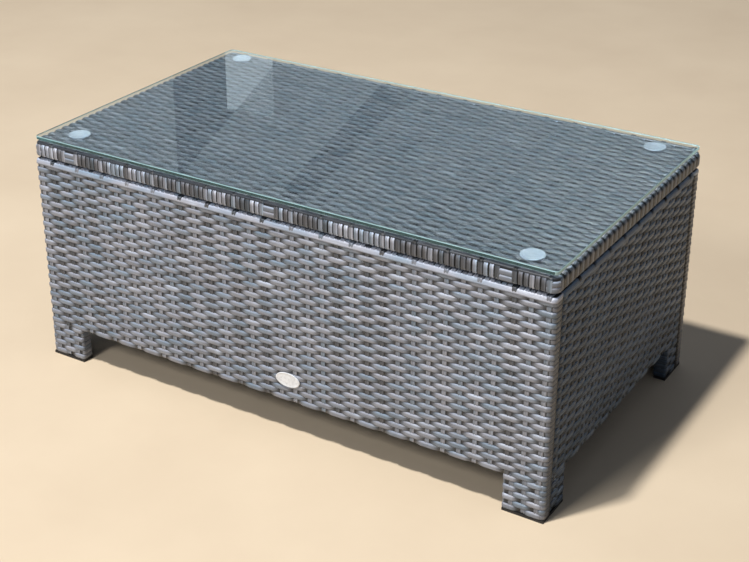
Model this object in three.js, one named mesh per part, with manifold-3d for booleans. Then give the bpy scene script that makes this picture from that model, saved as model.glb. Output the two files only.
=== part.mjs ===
// A knock-down garden coffee table: four wicker-covered panels of welded square tube,
// a wicker-covered top frame, and a loose glass pane on four suction pads.
// Millimetres, +Z up, X along the long side, the front faces -Y, the origin is on the floor
// under the centre of the table.

import * as THREE from 'three';
import { mergeVertices } from 'three/addons/utils/BufferGeometryUtils.js';
import Module from 'manifold-3d';

const wasm = await Module();
wasm.setup();

// Driving dimensions

const LENGTH = 800;
const WIDTH = 460;
const PANEL_TOP = 311;
const SKIRT_BOTTOM = 53;
const RIM_TOP = 334.5;
const LONG_LEG_WIDTH = 58.5;
const SHORT_LEG_WIDTH = 38.7;

const FACE_SETBACK = 1.5;
const PANEL_THICKNESS = 19.5;
const SHEET = 3;
const WRAP = 1.7;
const GAP = 0.3;

const TUBE = 15;
const TUBE_WALL = 1;

const GLIDE_HEIGHT = 3.7;
const GLIDE_INSET = 0.8;
const STEM_HEIGHT = 12;

const RIM_CORNER_RADIUS = 11;
const RIM_WRAP = 2.5;
const RIM_SIDE_BOTTOM = 314;
const RIM_LIP_TOP = 315.9;
const RIM_LIP_INSET = 3;
const CROSS_BAR_SPACING = 266;

const GLASS_LENGTH = 794;
const GLASS_WIDTH = 453;
const GLASS_THICKNESS = 5;
const GLASS_CORNER_RADIUS = 6;
const GLASS_EDGE_BEVEL = 0.6;
const PAD_RADIUS = 15.5;
const PAD_HEIGHT = 2.4;

const BADGE_LENGTH = 38;
const BADGE_HEIGHT = 21;
const BADGE_THICKNESS = 1.2;
const BADGE_X = 23;
const BADGE_Z = 86;
const PRONG_RADIUS = 1;
const PRONG_SPACING = 20;
const PRONG_LENGTH = 5;

const BOLT_RADIUS = 2.5;
const BOLT_HEAD_RADIUS = 4.75;
const BOLT_HEAD_HEIGHT = 2.75;
const BOLT_LENGTH = 30;
const HEX_KEY_SIZE = 3;
const HEX_KEY_DEPTH = 1.6;
const BOLT_CLEARANCE = 0.2;
const WASHER_RADIUS = 5;
const WASHER_THICKNESS = 1;
const WELD_NUT_SIZE = 8;
const WELD_NUT_HEIGHT = 4;
const CORNER_BOLT_HEIGHTS = [123, 255];
const TOP_BOLT_X = 250;

// Values worked out from the driving dimensions

const PANEL_FACE_X = LENGTH / 2 - FACE_SETBACK;
const PANEL_FACE_Y = WIDTH / 2 - FACE_SETBACK;
const LONG_PANEL = 2 * PANEL_FACE_X;
const SHORT_PANEL = 2 * (PANEL_FACE_Y - PANEL_THICKNESS - GAP);
const FOOT = GLIDE_HEIGHT + GAP;
const TUBE_FACE = SHEET + GAP;
const TUBE_CENTRE = TUBE_FACE + TUBE / 2;
const TUBE_BACK = TUBE_FACE + TUBE;
const TUBE_EDGE = WRAP + GAP;
const RIM_TUBE_TOP = RIM_TOP - SHEET - GAP;
const RIM_TUBE_BOTTOM = RIM_TUBE_TOP - TUBE;
const RIM_TUBE_EDGE = RIM_WRAP + GAP;
const PAD_BOTTOM = RIM_TOP + GAP;
const GLASS_BOTTOM = PAD_BOTTOM + PAD_HEIGHT + GAP;
const OVERSHOOT = 1;
const ROUND_SEGMENTS = 24;
const BOLT_SEGMENTS = 16;

// Materials

const metal = (color, roughness) => new THREE.MeshStandardMaterial({ color, roughness, metalness: 0.9 });
const plain = (color, roughness) => new THREE.MeshStandardMaterial({ color, roughness, metalness: 0 });

const makeWicker = () => plain(0x6c7276, 0.6);
const makeTubeCoating = () => metal(0x23262a, 0.5);
const makeZinc = () => metal(0xb4b6b8, 0.35);
const makeGlidePlastic = () => plain(0x17181a, 0.6);
const makePadVinyl = () => plain(0x9fb4cf, 0.2);
const makeBadgePlastic = () => plain(0xf2f2f0, 0.35);

function makeGlass() {
  return new THREE.MeshStandardMaterial({
    color: 0xa8c8c4,
    roughness: 0.05,
    metalness: 0,
    transparent: true,
    opacity: 0.35,
  });
}

// Solids

function solidOf(geometry) {
  const bare = geometry.clone();
  bare.deleteAttribute('normal');
  bare.deleteAttribute('uv');
  const merged = mergeVertices(bare, 1e-4);
  const mesh = new wasm.Mesh({
    numProp: 3,
    vertProperties: new Float32Array(merged.attributes.position.array),
    triVerts: new Uint32Array(merged.index.array),
  });
  return new wasm.Manifold(mesh);
}

function geometryOf(solid) {
  const mesh = solid.getMesh();
  const geometry = new THREE.BufferGeometry();
  geometry.setAttribute('position', new THREE.BufferAttribute(new Float32Array(mesh.vertProperties), 3));
  geometry.setIndex(new THREE.BufferAttribute(new Uint32Array(mesh.triVerts), 1));
  const faceted = geometry.toNonIndexed();
  faceted.computeVertexNormals();
  return faceted;
}

function join(solids) {
  return solids.reduce((sum, solid) => sum.add(solid));
}

function cut(solid, tools) {
  return tools.reduce((rest, tool) => rest.subtract(tool), solid);
}

function block([x0, x1], [y0, y1], [z0, z1]) {
  const box = new THREE.BoxGeometry(x1 - x0, y1 - y0, z1 - z0);
  return solidOf(box.translate((x0 + x1) / 2, (y0 + y1) / 2, (z0 + z1) / 2));
}

function shrink([low, high], by) {
  return [low + by, high - by];
}

// An outline in the XY plane, raised from one height to another.
function prism(outline, [z0, z1]) {
  const geometry = new THREE.ExtrudeGeometry(outline, { depth: z1 - z0, bevelEnabled: false, curveSegments: 6 });
  return solidOf(geometry.translate(0, 0, z0));
}

// An outline in the XZ plane, given depth along Y.
function slab(outline, [y0, y1]) {
  const geometry = new THREE.ExtrudeGeometry(outline, { depth: y1 - y0, bevelEnabled: false });
  return solidOf(geometry.rotateX(Math.PI / 2).translate(0, y1, 0));
}

function roundRod(radius, [z0, z1], segments = BOLT_SEGMENTS) {
  const rod = new THREE.CylinderGeometry(radius, radius, z1 - z0, segments);
  return solidOf(rod.rotateX(Math.PI / 2).translate(0, 0, (z0 + z1) / 2));
}

function alongX(solid) {
  return solid.rotate([0, 90, 0]);
}

function alongY(solid) {
  return solid.rotate([-90, 0, 0]);
}

function roundedRectangle(length, width, radius) {
  const [x, y] = [length / 2, width / 2];
  const shape = new THREE.Shape();
  shape.moveTo(-x + radius, -y);
  shape.lineTo(x - radius, -y);
  shape.absarc(x - radius, -y + radius, radius, -Math.PI / 2, 0);
  shape.lineTo(x, y - radius);
  shape.absarc(x - radius, y - radius, radius, 0, Math.PI / 2);
  shape.lineTo(-x + radius, y);
  shape.absarc(-x + radius, y - radius, radius, Math.PI / 2, Math.PI);
  shape.lineTo(-x, -y + radius);
  shape.absarc(-x + radius, -y + radius, radius, Math.PI, 1.5 * Math.PI);
  return shape;
}

// Panels. Each is built lying along X with its outer face on the plane Y = 0,
// its thickness towards +Y, and is then turned to its side of the table.

// The face of a panel's covering: a wide skirt between two legs, open below.
function wickerFace(length, legWidth) {
  const outer = length / 2;
  const inner = outer - legWidth;
  const shape = new THREE.Shape();
  shape.moveTo(-outer, FOOT);
  shape.lineTo(-inner, FOOT);
  shape.lineTo(-inner, SKIRT_BOTTOM);
  shape.lineTo(inner, SKIRT_BOTTOM);
  shape.lineTo(inner, FOOT);
  shape.lineTo(outer, FOOT);
  shape.lineTo(outer, PANEL_TOP);
  shape.lineTo(-outer, PANEL_TOP);
  return slab(shape, [0, SHEET]);
}

// An upside-down U: the band between two arches that are open at the feet.
function arch(half, top, thickness) {
  const depth = [SHEET + GAP, PANEL_THICKNESS];
  const whole = block([-half, half], depth, [FOOT, top]);
  const inside = block(
    shrink([-half, half], thickness),
    [0, PANEL_THICKNESS + OVERSHOOT],
    [FOOT - OVERSHOOT, top - thickness],
  );
  return cut(whole, [inside]);
}

// The covering turned back over the end posts and the top rail.
function wickerEdge(length) {
  return arch(length / 2, PANEL_TOP, WRAP);
}

// The covering turned back under the skirt and round the inner sides of the legs.
function wickerHem(length, legWidth) {
  return arch(length / 2 - legWidth + WRAP, SKIRT_BOTTOM + WRAP, WRAP);
}

// Where the tubes of one panel lie: each is a box with the axis it runs along.
function panelTubes(length, legWidth, hasMiddlePost) {
  const half = length / 2 - TUBE_EDGE;
  const innerPost = length / 2 - legWidth + TUBE_EDGE;
  const top = PANEL_TOP - TUBE_EDGE;
  const skirt = SKIRT_BOTTOM + TUBE_EDGE;
  const depth = [TUBE_FACE, TUBE_BACK];
  const rail = (z) => ({ axis: 0, box: [[-half, half], depth, [z, z + TUBE]] });
  const post = (x, z) => ({ axis: 2, box: [[x, x + TUBE], depth, z] });
  const tubes = [
    rail(top - TUBE),
    rail(skirt),
    post(-half, [FOOT, top]),
    post(half - TUBE, [FOOT, top]),
    post(-innerPost - TUBE, [FOOT, skirt + TUBE]),
    post(innerPost, [FOOT, skirt + TUBE]),
  ];
  if (hasMiddlePost) {
    tubes.push(post(-TUBE / 2, [skirt, top]));
  }
  return tubes;
}

// The outside of the tubes, or their inside, which runs on from tube to tube.
function tubeSolid(tubes, wall) {
  return join(tubes.map(({ box }) => block(...box.map((range) => shrink(range, wall)))));
}

// The tubes of a panel welded into one hollow frame that is open at the feet.
function weldTubes(tubes) {
  const mouths = openPostFeet(tubes).map(([x, y, z]) => block(x, y, z));
  return cut(tubeSolid(tubes, 0), [tubeSolid(tubes, TUBE_WALL), ...mouths]);
}

function openPostFeet(tubes) {
  const standing = tubes.filter(({ axis, box }) => axis === 2 && box[2][0] === FOOT);
  return standing.map(({ box: [x, y, z] }) => [
    shrink(x, TUBE_WALL),
    shrink(y, TUBE_WALL),
    [z[0] - OVERSHOOT, z[0] + 2 * TUBE_WALL],
  ]);
}

// A hexagonal nut standing on Z = 0, with its clearance bore made by boltHole.
function weldNut() {
  const acrossCorners = WELD_NUT_SIZE / Math.cos(Math.PI / 6) / 2;
  return roundRod(acrossCorners, [0, WELD_NUT_HEIGHT], 6);
}

function boltHole(range) {
  return roundRod(BOLT_RADIUS + BOLT_CLEARANCE, range);
}

// Where the corner bolts cross a long panel's end post, measured from the panel's middle.
const CORNER_BOLT_X = PANEL_FACE_X - TUBE_CENTRE;

function longFrame() {
  const tubes = panelTubes(LONG_PANEL, LONG_LEG_WIDTH, true);
  const innerWall = TUBE_BACK - TUBE_WALL;
  const nuts = [];
  const holes = [];
  for (const x of [-CORNER_BOLT_X, CORNER_BOLT_X]) {
    for (const z of CORNER_BOLT_HEIGHTS) {
      nuts.push(alongY(weldNut()).translate([x, innerWall - WELD_NUT_HEIGHT, z]));
      const bore = [innerWall - WELD_NUT_HEIGHT - OVERSHOOT, TUBE_BACK + OVERSHOOT];
      holes.push(alongY(boltHole(bore)).translate([x, 0, z]));
    }
  }
  for (const x of [-TOP_BOLT_X, TOP_BOLT_X]) {
    holes.push(topBoltHole(x));
  }
  return cut(join([weldTubes(tubes), ...nuts]), holes);
}

function shortFrame() {
  const tubes = panelTubes(SHORT_PANEL, SHORT_LEG_WIDTH, false);
  return cut(weldTubes(tubes), cornerBoltHoles());
}

function topBoltHole(x) {
  const below = PANEL_TOP - TUBE_EDGE - TUBE - OVERSHOOT;
  return boltHole([below, PANEL_TOP + OVERSHOOT]).translate([x, TOP_BOLT_Y, 0]);
}

// The corner bolts pass right through both end posts of a short panel.
function cornerBoltHoles() {
  const reach = SHORT_PANEL / 2 + OVERSHOOT;
  return CORNER_BOLT_HEIGHTS.map((z) => alongX(boltHole([-reach, reach])).translate([0, TUBE_CENTRE, z]));
}

// The top bolts stand between the middles of the panel's tube and of the top frame's tube.
const RIM_TUBE_CENTRE = RIM_TUBE_EDGE + TUBE / 2 - FACE_SETBACK;
const TOP_BOLT_Y = (TUBE_CENTRE + RIM_TUBE_CENTRE) / 2;

function longWickerEdge() {
  return cut(wickerEdge(LONG_PANEL), [-TOP_BOLT_X, TOP_BOLT_X].map(topBoltHole));
}

function shortWickerEdge() {
  return cut(wickerEdge(SHORT_PANEL), cornerBoltHoles());
}

// The front covering has two small holes for the prongs of the badge.
function frontWickerFace() {
  const hole = alongY(roundRod(PRONG_RADIUS + GAP, [-OVERSHOOT, SHEET + OVERSHOOT], 8));
  const prongHoles = prongPlaces().map((x) => hole.translate([x, 0, BADGE_Z]));
  return cut(wickerFace(LONG_PANEL, LONG_LEG_WIDTH), prongHoles);
}

function prongPlaces() {
  return [BADGE_X - PRONG_SPACING / 2, BADGE_X + PRONG_SPACING / 2];
}

// A plain oval plate with two prongs that grip the weave behind it.
function badge() {
  const oval = new THREE.Shape();
  oval.absellipse(0, 0, BADGE_LENGTH / 2, BADGE_HEIGHT / 2, 0, 2 * Math.PI, false, 0);
  const geometry = new THREE.ExtrudeGeometry(oval, {
    depth: BADGE_THICKNESS - 2 * GAP,
    bevelThickness: GAP,
    bevelSize: GAP,
    bevelOffset: -GAP,
    bevelSegments: 1,
    curveSegments: ROUND_SEGMENTS,
  });
  const plate = solidOf(geometry.rotateX(Math.PI / 2).translate(BADGE_X, -2 * GAP, BADGE_Z));
  const prong = alongY(roundRod(PRONG_RADIUS, [-2 * GAP, PRONG_LENGTH - GAP], 8));
  return join([plate, ...prongPlaces().map((x) => prong.translate([x, 0, BADGE_Z]))]);
}

// A plastic glide strip under one leg, with a stem up into each open tube.
function glide(length, legWidth, side) {
  const outer = length / 2;
  const inner = outer - legWidth;
  const strip = block(
    shrink([inner, outer], GLIDE_INSET),
    [GLIDE_INSET, PANEL_THICKNESS - GLIDE_INSET],
    [0, GLIDE_HEIGHT],
  );
  const stemInset = TUBE_WALL + GAP;
  const postStarts = [inner + TUBE_EDGE, outer - TUBE_EDGE - TUBE];
  const stems = postStarts.map((x) =>
    block(
      shrink([x, x + TUBE], stemInset),
      shrink([TUBE_FACE, TUBE_BACK], stemInset),
      [GLIDE_HEIGHT / 2, GLIDE_HEIGHT + STEM_HEIGHT],
    ),
  );
  const right = join([strip, ...stems]);
  return side > 0 ? right : right.mirror([1, 0, 0]);
}

// Bolts and washers. Each is built on Z with the underside of the head on Z = 0,
// the shank towards +Z and the head below.

function bolt() {
  const head = roundRod(BOLT_HEAD_RADIUS, [-BOLT_HEAD_HEIGHT, 0], ROUND_SEGMENTS);
  const shank = roundRod(BOLT_RADIUS, [-OVERSHOOT, BOLT_LENGTH]);
  const keyRadius = HEX_KEY_SIZE / Math.cos(Math.PI / 6) / 2;
  const socket = roundRod(keyRadius, [-BOLT_HEAD_HEIGHT - OVERSHOOT, HEX_KEY_DEPTH - BOLT_HEAD_HEIGHT], 6);
  return cut(join([head, shank]), [socket]);
}

function washer() {
  const disc = roundRod(WASHER_RADIUS, [0, WASHER_THICKNESS], ROUND_SEGMENTS);
  return cut(disc, [boltHole([-OVERSHOOT, WASHER_THICKNESS + OVERSHOOT])]);
}

// The top: a flat woven sheet turned down over the rim and under the tubes.

function topWicker() {
  const sheetOutline = roundedRectangle(LENGTH, WIDTH, RIM_CORNER_RADIUS);
  const pocketOutline = roundedRectangle(
    LENGTH - 2 * RIM_WRAP,
    WIDTH - 2 * RIM_WRAP,
    RIM_CORNER_RADIUS - RIM_WRAP,
  );
  const shell = cut(prism(sheetOutline, [RIM_SIDE_BOTTOM, RIM_TOP]), [
    prism(pocketOutline, [RIM_SIDE_BOTTOM - OVERSHOOT, RIM_TOP - SHEET]),
  ]);
  const upperLip = rimRing(WRAP, [RIM_SIDE_BOTTOM, RIM_LIP_TOP]);
  const lowerLip = rimRing(RIM_LIP_INSET, [PANEL_TOP + GAP, RIM_SIDE_BOTTOM + OVERSHOOT]);
  return cut(join([shell, upperLip, lowerLip]), rimBoltHoles());
}

// A flat ring under the rim's tubes, set in from the outer face.
function rimRing(inset, heights) {
  const reach = RIM_TUBE_EDGE + TUBE;
  const outline = roundedRectangle(LENGTH - 2 * inset, WIDTH - 2 * inset, RIM_CORNER_RADIUS - inset);
  const middle = block(
    shrink([-LENGTH / 2, LENGTH / 2], reach),
    shrink([-WIDTH / 2, WIDTH / 2], reach),
    [heights[0] - OVERSHOOT, heights[1] + OVERSHOOT],
  );
  return cut(prism(outline, heights), [middle]);
}

function rimBoltPlaces() {
  const y = PANEL_FACE_Y - TOP_BOLT_Y;
  return [
    [-TOP_BOLT_X, -y],
    [TOP_BOLT_X, -y],
    [TOP_BOLT_X, y],
    [-TOP_BOLT_X, y],
  ];
}

function rimBoltHoles() {
  const heights = [PANEL_TOP - OVERSHOOT, RIM_TUBE_BOTTOM + TUBE_WALL + WELD_NUT_HEIGHT + OVERSHOOT];
  return rimBoltPlaces().map(([x, y]) => boltHole(heights).translate([x, y, 0]));
}

function topFrame() {
  const [x, y] = [LENGTH / 2 - RIM_TUBE_EDGE, WIDTH / 2 - RIM_TUBE_EDGE];
  const heights = [RIM_TUBE_BOTTOM, RIM_TUBE_TOP];
  const longTube = (start) => ({ axis: 0, box: [[-x, x], [start, start + TUBE], heights] });
  const shortTube = (start) => ({ axis: 1, box: [[start, start + TUBE], [-y, y], heights] });
  const barStart = CROSS_BAR_SPACING / 2 - TUBE / 2;
  const tubes = [
    longTube(-y),
    longTube(y - TUBE),
    shortTube(-x),
    shortTube(x - TUBE),
    shortTube(-barStart - TUBE),
    shortTube(barStart),
  ];
  const nutBase = RIM_TUBE_BOTTOM + TUBE_WALL;
  const nuts = rimBoltPlaces().map(([px, py]) => weldNut().translate([px, py, nutBase]));
  const withRoundCorners = (wall) => {
    const radius = RIM_CORNER_RADIUS - RIM_TUBE_EDGE - wall;
    const corners = roundedRectangle(2 * (x - wall), 2 * (y - wall), radius);
    return tubeSolid(tubes, wall).intersect(prism(corners, heights));
  };
  const hollow = cut(withRoundCorners(0), [withRoundCorners(TUBE_WALL)]);
  return cut(join([hollow, ...nuts]), rimBoltHoles());
}

function glassPane() {
  const outline = roundedRectangle(GLASS_LENGTH, GLASS_WIDTH, GLASS_CORNER_RADIUS);
  const geometry = new THREE.ExtrudeGeometry(outline, {
    depth: GLASS_THICKNESS - 2 * GLASS_EDGE_BEVEL,
    bevelThickness: GLASS_EDGE_BEVEL,
    bevelSize: GLASS_EDGE_BEVEL,
    bevelOffset: -GLASS_EDGE_BEVEL,
    bevelSegments: 1,
    curveSegments: 8,
  });
  return solidOf(geometry.translate(0, 0, GLASS_BOTTOM + GLASS_EDGE_BEVEL));
}

// A suction pad: a thick disc with a raised soft edge round a shallow cup.
function suctionPad() {
  const profile = [
    [0, 0],
    [PAD_RADIUS * 0.86, 0],
    [PAD_RADIUS * 0.97, PAD_HEIGHT * 0.3],
    [PAD_RADIUS, PAD_HEIGHT * 0.75],
    [PAD_RADIUS * 0.96, PAD_HEIGHT],
    [PAD_RADIUS * 0.88, PAD_HEIGHT],
    [PAD_RADIUS * 0.5, PAD_HEIGHT * 0.72],
    [0, PAD_HEIGHT * 0.65],
  ].map(([radius, height]) => new THREE.Vector2(radius, height));
  return solidOf(new THREE.LatheGeometry(profile, 32).rotateX(Math.PI / 2));
}

// The scene graph

const table = new THREE.Group();

function addPiece(group, name, solid, material) {
  const mesh = new THREE.Mesh(geometryOf(solid), material);
  mesh.name = name;
  group.add(mesh);
  return mesh;
}

function sideGroup(x, y, turn) {
  const group = new THREE.Group();
  group.position.set(x, y, 0);
  group.rotation.z = turn;
  table.add(group);
  return group;
}

function addGlides(group, side, length, legWidth) {
  addPiece(group, `${side}_glide_1`, glide(length, legWidth, -1), makeGlidePlastic());
  addPiece(group, `${side}_glide_2`, glide(length, legWidth, 1), makeGlidePlastic());
}

// A panel's covering is one weave, stated as three closed bodies: face, edge and hem.
function addWicker(group, side, face, edge, hem) {
  addPiece(group, `${side}_wicker`, face, makeWicker());
  addPiece(group, `${side}_wicker_edge`, edge, makeWicker());
  addPiece(group, `${side}_wicker_hem`, hem, makeWicker());
}

function addLongPanel(side, y, turn, face) {
  const group = sideGroup(0, y, turn);
  addWicker(group, side, face, longWickerEdge(), wickerHem(LONG_PANEL, LONG_LEG_WIDTH));
  addPiece(group, `${side}_frame`, longFrame(), makeTubeCoating());
  addGlides(group, side, LONG_PANEL, LONG_LEG_WIDTH);
  [-1, 1].forEach((end, index) => addTopFastener(group, `${side}_top`, index + 1, end * TOP_BOLT_X));
  return group;
}

// A top bolt and its washer stand under the panel's top rail.
function addTopFastener(group, prefix, number, x) {
  const railBottom = PANEL_TOP - TUBE_EDGE - TUBE;
  const washerMesh = addPiece(group, `${prefix}_washer_${number}`, washer(), makeZinc());
  washerMesh.position.set(x, TOP_BOLT_Y, railBottom - GAP - WASHER_THICKNESS);
  const boltMesh = addPiece(group, `${prefix}_bolt_${number}`, bolt(), makeZinc());
  boltMesh.position.set(x, TOP_BOLT_Y, railBottom - 2 * GAP - WASHER_THICKNESS);
}

function addShortPanel(side, x, turn) {
  const group = sideGroup(x, 0, turn);
  const face = wickerFace(SHORT_PANEL, SHORT_LEG_WIDTH);
  addWicker(group, side, face, shortWickerEdge(), wickerHem(SHORT_PANEL, SHORT_LEG_WIDTH));
  addPiece(group, `${side}_frame`, shortFrame(), makeTubeCoating());
  addGlides(group, side, SHORT_PANEL, SHORT_LEG_WIDTH);
  let number = 1;
  for (const end of [-1, 1]) {
    for (const height of CORNER_BOLT_HEIGHTS) {
      addCornerFastener(group, side, number, end, height);
      number += 1;
    }
  }
}

// A corner bolt and its washer sit on the inner side of the short panel's end post.
function addCornerFastener(group, side, number, end, height) {
  const postFace = SHORT_PANEL / 2 - TUBE_EDGE - TUBE;
  const washerMesh = addPiece(group, `${side}_corner_washer_${number}`, washer(), makeZinc());
  washerMesh.rotation.y = (end * Math.PI) / 2;
  washerMesh.position.set(end * (postFace - GAP - WASHER_THICKNESS), TUBE_CENTRE, height);
  const boltMesh = addPiece(group, `${side}_corner_bolt_${number}`, bolt(), makeZinc());
  boltMesh.rotation.y = (end * Math.PI) / 2;
  boltMesh.position.set(end * (postFace - 2 * GAP - WASHER_THICKNESS), TUBE_CENTRE, height);
}

const front = addLongPanel('front', -PANEL_FACE_Y, 0, frontWickerFace());
addPiece(front, 'badge', badge(), makeBadgePlastic());
addLongPanel('back', PANEL_FACE_Y, Math.PI, wickerFace(LONG_PANEL, LONG_LEG_WIDTH));
addShortPanel('right', PANEL_FACE_X, Math.PI / 2);
addShortPanel('left', -PANEL_FACE_X, -Math.PI / 2);

addPiece(table, 'top_wicker', topWicker(), makeWicker());
addPiece(table, 'top_frame', topFrame(), makeTubeCoating());
addPiece(table, 'glass_pane', glassPane(), makeGlass());

// The pads are laid by hand, so they don't stand on a perfect rectangle.
const PAD_PLACES = {
  front_left: [-352, -185],
  front_right: [350, -194],
  back_right: [343, 196],
  back_left: [-359, 203],
};
for (const [place, [x, y]] of Object.entries(PAD_PLACES)) {
  const pad = addPiece(table, `${place}_pad`, suctionPad(), makePadVinyl());
  pad.position.set(x, y, PAD_BOTTOM);
}

export default table;
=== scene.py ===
"""The looks of a wicker coffee table with a glass top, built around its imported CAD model.

Metres, +Z up, the front faces -Y. Every woven strand is a swept mesh laid where the CAD coverings are.
"""

import math

import bpy
import numpy as np
from mathutils import Matrix, Vector


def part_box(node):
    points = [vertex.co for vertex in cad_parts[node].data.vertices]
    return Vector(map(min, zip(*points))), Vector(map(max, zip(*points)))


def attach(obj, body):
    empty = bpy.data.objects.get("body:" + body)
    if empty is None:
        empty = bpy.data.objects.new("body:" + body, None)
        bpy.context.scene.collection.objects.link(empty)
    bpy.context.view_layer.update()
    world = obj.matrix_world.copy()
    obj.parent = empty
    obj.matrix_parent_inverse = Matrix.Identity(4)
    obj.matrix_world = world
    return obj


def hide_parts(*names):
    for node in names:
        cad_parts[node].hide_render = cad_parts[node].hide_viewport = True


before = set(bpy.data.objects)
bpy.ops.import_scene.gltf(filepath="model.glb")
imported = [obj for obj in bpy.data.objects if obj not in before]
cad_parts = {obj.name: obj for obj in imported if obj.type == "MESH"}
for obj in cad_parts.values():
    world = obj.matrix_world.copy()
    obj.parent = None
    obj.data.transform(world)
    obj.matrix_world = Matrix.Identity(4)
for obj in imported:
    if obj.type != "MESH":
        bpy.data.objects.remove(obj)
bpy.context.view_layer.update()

MM = 0.001
SEED = 7

# Weave
STAKES_LONG = 36
STAKE_SPAN_LONG = 777.2 * MM
STAKE_PITCH_SHORT = 22.35 * MM
STAKES_SHORT = 18
FIRST_STAKE_SHORT = -186.2 * MM
SKIRT_ROWS = 37
LEG_ROWS = 7
TOP_ROWS = 65
TOP_ROW_PITCH = 7.0 * MM
WEFT_HALF_WIDTH = 3.85 * MM
WEFT_HEIGHT = 1.9 * MM
WEFT_OVER = 1.9 * MM
WEFT_UNDER = 3.8 * MM
STAKE_HALF_WIDTH = 3.2 * MM
STAKE_HEIGHT = 1.4 * MM
STAKE_OVER = 1.75 * MM
STAKE_UNDER = 3.2 * MM
WEFT_LEAN = 0.65
EDGE_STRAND_DEPTH = 1.7 * MM
EDGE_STRAND_OVER = 0.5 * MM
LEG_STAKES_LONG = (-352 * MM, -369.5 * MM, -387 * MM)
LEG_STAKES_SHORT = (-179 * MM, -197 * MM)
LONG_LEG = 58.5 * MM
SHORT_LEG = 38.7 * MM
SKIRT_BOTTOM = 53 * MM
CORNER_RADIUS = 3.6 * MM
LEG_INNER_RADIUS = 1.6 * MM
WRAP_RADIUS = 2.0 * MM
RIM_SIDE_RADIUS = 4.2 * MM
RIM_OVER_RADIUS = 3.8 * MM
BAND_HEIGHTS = (318.4 * MM, 325.8 * MM)
BAND_HALF_WIDTH = 3.9 * MM
RIM_CORNER_RADIUS = 11 * MM
FILLERS_PER_PITCH = 2
FILLER_GROUP = 3
RIM_EDGE_TILT = math.radians(76)

# Brightness of the strands, where 1 is the plain strand colour. The top and the short sides are darker
# than the long sides as painted shade, and the short sides' painted shade is also a little bluer.
TOP_PAINTED_SHADE = 0.34
SHORT_SIDE_PAINTED_SHADE = 0.48
PAINTED_SHADE_TINT = (0.66, 0.84, 1.0)
# Painted light on the panels' edge strands and on the wraps over their top rails.
EDGE_PAINTED_LIGHT = 2.1
# Painted shade on the rim's long edge strands.
RIM_EDGE_PAINTED_SHADE = 0.35
# Painted shade on the stakes where they lie flat on the top.
STAKE_PAINTED_SHADE_ON_TOP = 0.4
DARK_BATCH = 0.42
LIGHT_BATCH = 1.25
DARK_BATCH_SHARE = 0.45

RIM_WRAP_HALF_WIDTH = 2.75 * MM
BARE_PLACES = ((-341 * MM, -325 * MM), (-8 * MM, 8 * MM), (325 * MM, 341 * MM))

# A strand's section: (across, height), from one edge over the back to the other, with two soft ribs.
TWO_RIBS = (
    (-1.0, 0.05),
    (-0.86, 0.66),
    (-0.5, 1.0),
    (-0.12, 0.5),
    (0.12, 0.5),
    (0.5, 1.0),
    (0.86, 0.66),
    (1.0, 0.05),
)

HALF_ROUND = (
    (-1.0, 0.03),
    (-0.92, 0.46),
    (-0.70, 0.86),
    (-0.26, 1.0),
    (0.26, 0.99),
    (0.70, 0.86),
    (0.92, 0.46),
    (1.0, 0.03),
)

random = np.random.default_rng(SEED)


# Strand meshes


class Strands:
    """Collects swept strands, and makes one mesh object of them all."""

    def __init__(self):
        self.points = []
        self.quads = []
        self.along = []
        self.side = []
        self.strand = []
        self.shade = []
        self.count = 0

    def add(self, centre, outward, across, half_width, height, section=TWO_RIBS, tones=None, shade=1.0):
        """centre, outward and across are (strands, samples, 3). Tones has one number per strand, and picks
        its streaks. Shade is a brightness, for all of them or for every sample."""
        a, h = np.array(section).T
        n, k, m = centre.shape[0], centre.shape[1], len(a)
        points = (
            centre[:, :, None, :]
            + across[:, :, None, :] * (a * half_width)[None, None, :, None]
            + outward[:, :, None, :] * (h * height)[None, None, :, None]
        )
        steps = np.linalg.norm(np.diff(centre, axis=1), axis=2)
        run = np.concatenate([np.zeros((n, 1)), np.cumsum(steps, axis=1)], axis=1)
        run = run + random.uniform(0, 10, (n, 1))
        if tones is None:
            tones = random.uniform(0, 1, n)
        tone = np.repeat(np.asarray(tones)[:, None], k, axis=1)
        self.points.append(points.reshape(-1, 3))
        self.along.append(np.repeat(run.reshape(-1), m))
        self.side.append(np.tile(a, n * k))
        self.strand.append(np.repeat(tone.reshape(-1), m))
        self.shade.append(np.repeat(np.broadcast_to(shade, (n, k)).reshape(-1), m))
        self.quads.append(strand_quads(n, k, m) + self.count)
        self.count += n * k * m

    def build(self, name, material):
        mesh = bpy.data.meshes.new(name)
        points = np.concatenate(self.points).astype(np.float32)
        quads = np.concatenate(self.quads).astype(np.int32)
        mesh.vertices.add(len(points))
        mesh.vertices.foreach_set("co", points.reshape(-1))
        mesh.loops.add(quads.size)
        mesh.loops.foreach_set("vertex_index", quads.reshape(-1))
        mesh.polygons.add(len(quads))
        mesh.polygons.foreach_set("loop_start", np.arange(0, quads.size, 4, dtype=np.int32))
        mesh.update(calc_edges=True)
        labelled = {"along": self.along, "side": self.side, "strand": self.strand, "shade": self.shade}
        for label, values in labelled.items():
            layer = mesh.attributes.new(label, "FLOAT", "POINT")
            layer.data.foreach_set("value", np.concatenate(values).astype(np.float32))
        mesh.shade_smooth()
        mesh.set_sharp_from_angle(angle=math.radians(60))
        mesh.materials.append(material)
        piece = bpy.data.objects.new(name, mesh)
        bpy.context.scene.collection.objects.link(piece)
        return piece


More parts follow.
